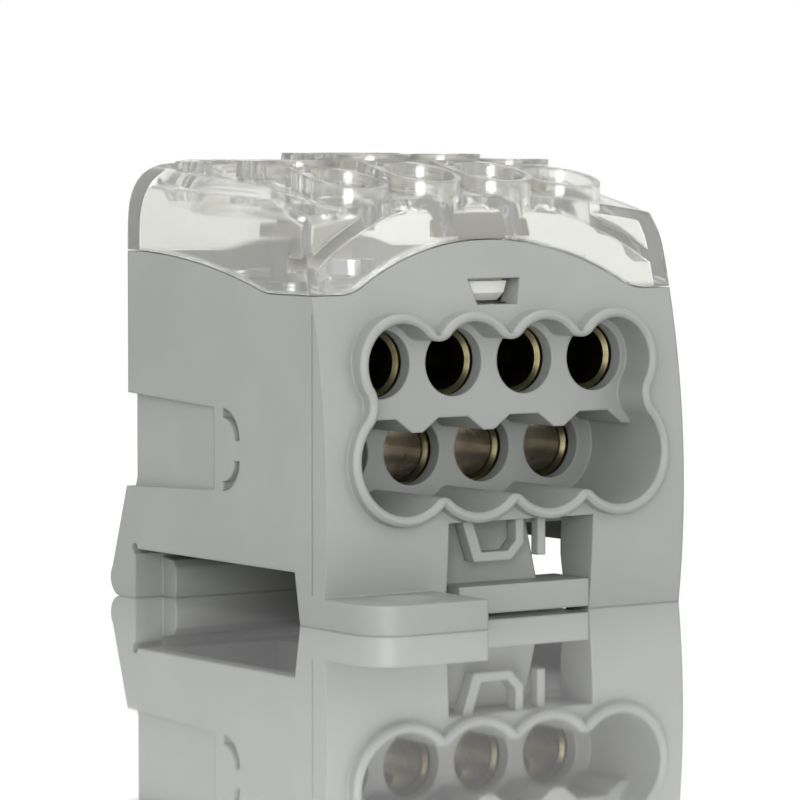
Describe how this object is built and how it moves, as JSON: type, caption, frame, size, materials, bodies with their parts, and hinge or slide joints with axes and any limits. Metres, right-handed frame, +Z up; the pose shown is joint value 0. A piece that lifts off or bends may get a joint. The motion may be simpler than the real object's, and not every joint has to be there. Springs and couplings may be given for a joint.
{
  "type": "power distribution block",
  "caption": "Rail-mounted single-pole distribution block: grey moulded housing, clear clip-on cover, stepped metal block, scalloped wire entries with clamp screws, sprung rail latch.",
  "frame": {"origin": "middle of the footprint, on the mounting surface", "axes": "+X along the rail, -Y the side with the eight outgoing wires, +Z up from the mounting surface"},
  "size_m": [0.0564, 0.0722, 0.0587],
  "materials": {
    "grey_polyamide": "fine matte moulding",
    "clear_polycarbonate": "clear polished",
    "tinned_brass": "dull tinned",
    "zinc_steel": "zinc plated"
  },
  "bodies": {
    "housing": {"base_housing": "grey_polyamide", "terminal_block": "tinned_brass"},
    "cover": {"clear_cover": "clear_polycarbonate"},
    "latch": {"rail_latch": "grey_polyamide"},
    "upper_screw_1": {"upper_screw_1": "zinc_steel"},
    "upper_screw_2": {"upper_screw_2": "zinc_steel"},
    "upper_screw_3": {"upper_screw_3": "zinc_steel"},
    "upper_screw_4": {"upper_screw_4": "zinc_steel"},
    "lower_screw_1": {"lower_screw_1": "zinc_steel"},
    "lower_screw_2": {"lower_screw_2": "zinc_steel"},
    "lower_screw_3": {"lower_screw_3": "zinc_steel"},
    "lower_screw_4": {"lower_screw_4": "zinc_steel"},
    "incoming_screw_1": {"incoming_screw_1": "zinc_steel"},
    "incoming_screw_2": {"incoming_screw_2": "zinc_steel"},
    "incoming_screw_3": {"incoming_screw_3": "zinc_steel"}
  },
  "joints": [
    {"name": "cover_lift", "type": "slide", "parent": "housing", "child": "cover", "axis": [0, 0, 1], "range_m": [0, 0.03]},
    {"name": "latch_pull", "type": "slide", "parent": "housing", "child": "latch", "axis": [0, -1, 0], "range_m": [0, 0.0022], "stiffness_N_per_m": 1500},
    {"name": "upper_screw_1_travel", "type": "slide", "parent": "housing", "child": "upper_screw_1", "axis": [0, 0, -1], "range_m": [0, 0.006]},
    {"name": "upper_screw_2_travel", "type": "slide", "parent": "housing", "child": "upper_screw_2", "axis": [0, 0, -1], "range_m": [0, 0.006]},
    {"name": "upper_screw_3_travel", "type": "slide", "parent": "housing", "child": "upper_screw_3", "axis": [0, 0, -1], "range_m": [0, 0.006]},
    {"name": "upper_screw_4_travel", "type": "slide", "parent": "housing", "child": "upper_screw_4", "axis": [0, 0, -1], "range_m": [0, 0.006]},
    {"name": "lower_screw_1_travel", "type": "slide", "parent": "housing", "child": "lower_screw_1", "axis": [0, 0, -1], "range_m": [0, 0.006]},
    {"name": "lower_screw_2_travel", "type": "slide", "parent": "housing", "child": "lower_screw_2", "axis": [0, 0, -1], "range_m": [0, 0.006]},
    {"name": "lower_screw_3_travel", "type": "slide", "parent": "housing", "child": "lower_screw_3", "axis": [0, 0, -1], "range_m": [0, 0.006]},
    {"name": "lower_screw_4_travel", "type": "slide", "parent": "housing", "child": "lower_screw_4", "axis": [0, 0, -1], "range_m": [0, 0.006]},
    {"name": "incoming_screw_1_travel", "type": "slide", "parent": "housing", "child": "incoming_screw_1", "axis": [0, 0, -1], "range_m": [0, 0.008]},
    {"name": "incoming_screw_2_travel", "type": "slide", "parent": "housing", "child": "incoming_screw_2", "axis": [0, 0, -1], "range_m": [0, 0.008]},
    {"name": "incoming_screw_3_travel", "type": "slide", "parent": "housing", "child": "incoming_screw_3", "axis": [0, 0, -1], "range_m": [0, 0.008]}
  ]
}
